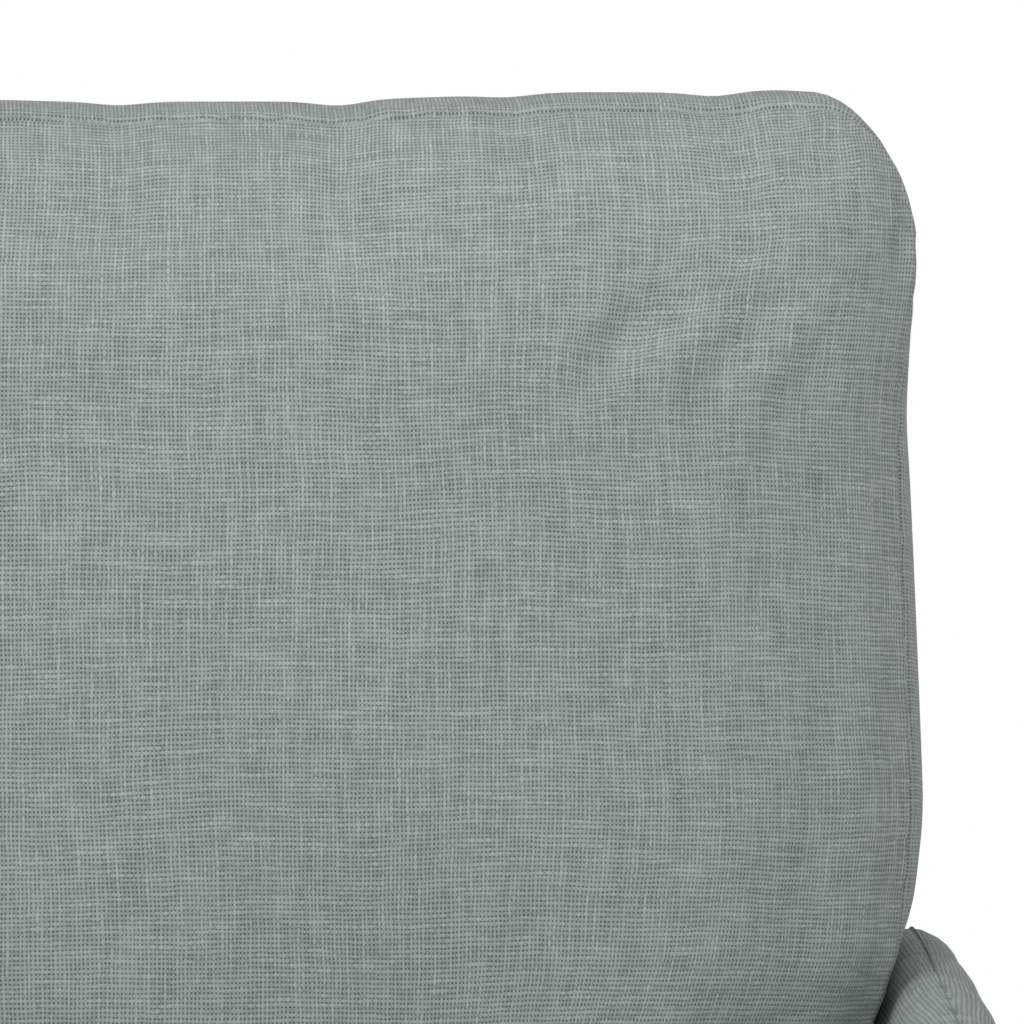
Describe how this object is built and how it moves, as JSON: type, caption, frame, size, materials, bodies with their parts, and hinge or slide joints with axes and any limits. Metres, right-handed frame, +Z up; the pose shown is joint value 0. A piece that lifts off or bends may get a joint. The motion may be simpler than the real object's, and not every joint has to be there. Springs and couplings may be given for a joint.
{
  "type": "glider nursery chair",
  "caption": "Upholstered nursery armchair on a gliding parallel-hanger linkage and a swivel ring base, with loose boxed seat and back cushions.",
  "frame": {"origin": "on the floor at the swivel axis, below the middle of the chair's width and depth", "axes": "+Z up; the sitter faces -Y; +X is the sitter's left, which is the viewer's right from the front"},
  "size_m": [0.706, 0.841, 1],
  "materials": {
    "linen_weave": "plain-woven linen-look upholstery cloth, grey with a faint green cast, light slub threads over dark gaps",
    "painted_steel": "satin black powder coat",
    "zinc_steel": "bright zinc plate",
    "bearing_steel": "polished bearing steel",
    "spring_steel": "drawn spring wire, lightly oiled",
    "nylon": "natural moulded nylon",
    "rubber": "matt black moulded rubber",
    "plywood": "birch plywood, unfinished, with plies showing on its edges",
    "pine": "planed softwood, unfinished",
    "elastic_webbing": "black woven elastic webbing",
    "deck_cloth": "dark grey felted deck pad",
    "cambric": "black non-woven dust cloth"
  },
  "bodies": {
    "base": {"base_ring": "painted_steel", "base_glides": "rubber", "bearing_lower_plate": "zinc_steel", "bearing_balls": "bearing_steel", "ball_cage": "nylon", "kingpin_bolt": "zinc_steel", "kingpin_washer": "zinc_steel", "kingpin_nut": "zinc_steel"},
    "turntable": {"bearing_upper_plate": "zinc_steel", "kingpin_bush": "nylon", "carrier_frame": "painted_steel", "carrier_bolts": "zinc_steel", "upright_left": "painted_steel", "upright_right": "painted_steel", "hanger_upper_rivets": "zinc_steel", "stop_bumpers": "rubber"},
    "front_hangers": {"hanger_front_left": "painted_steel", "hanger_front_right": "painted_steel", "front_bushes": "nylon"},
    "rear_hangers": {"hanger_rear_left": "painted_steel", "hanger_rear_right": "painted_steel", "rear_bushes": "nylon"},
    "seat": {"swing_bracket_left": "painted_steel", "swing_bracket_right": "painted_steel", "hanger_lower_rivets": "zinc_steel", "bracket_bolts": "zinc_steel", "platform_bar_front": "painted_steel", "platform_bar_rear": "painted_steel", "platform_bolts": "zinc_steel", "side_rail_left": "pine", "side_rail_right": "pine", "front_rail": "plywood", "rear_rail": "pine", "corner_blocks": "pine", "frame_screws": "zinc_steel", "seat_springs": "spring_steel", "spring_clips": "zinc_steel", "seat_deck": "deck_cloth", "dust_cover": "cambric", "arm_panel_left": "plywood", "arm_panel_right": "plywood", "arm_blocks": "pine", "back_post_left": "pine", "back_post_right": "pine", "back_top_rail": "pine", "back_lumbar_rail": "pine", "back_bottom_rail": "pine", "back_webbing": "elastic_webbing", "arm_upholstery_left": "linen_weave", "arm_upholstery_right": "linen_weave", "outer_back": "linen_weave", "front_apron": "linen_weave", "seat_cushion": "linen_weave", "back_cushion": "linen_weave"}
  },
  "joints": [
    {"name": "swivel", "type": "hinge", "parent": "base", "child": "turntable", "pos_m": [0, 0, 0.0305], "axis": [0, 0, 1], "continuous": true},
    {"name": "glide", "type": "hinge", "parent": "turntable", "child": "front_hangers", "pos_m": [0, -0.11, 0.2255], "axis": [1, 0, 0], "range_deg": [-20, 20]},
    {"name": "rear_hanger_swing", "type": "hinge", "parent": "turntable", "child": "rear_hangers", "pos_m": [0, 0.11, 0.2255], "axis": [1, 0, 0], "range_deg": [-20, 20]},
    {"name": "seat_level", "type": "hinge", "parent": "front_hangers", "child": "seat", "pos_m": [0, -0.11, 0.0855], "axis": [1, 0, 0], "range_deg": [-20, 20]}
  ],
  "couplings": [
    {"joint": "rear_hanger_swing", "follows": "glide", "ratio": 1},
    {"joint": "seat_level", "follows": "glide", "ratio": -1}
  ]
}
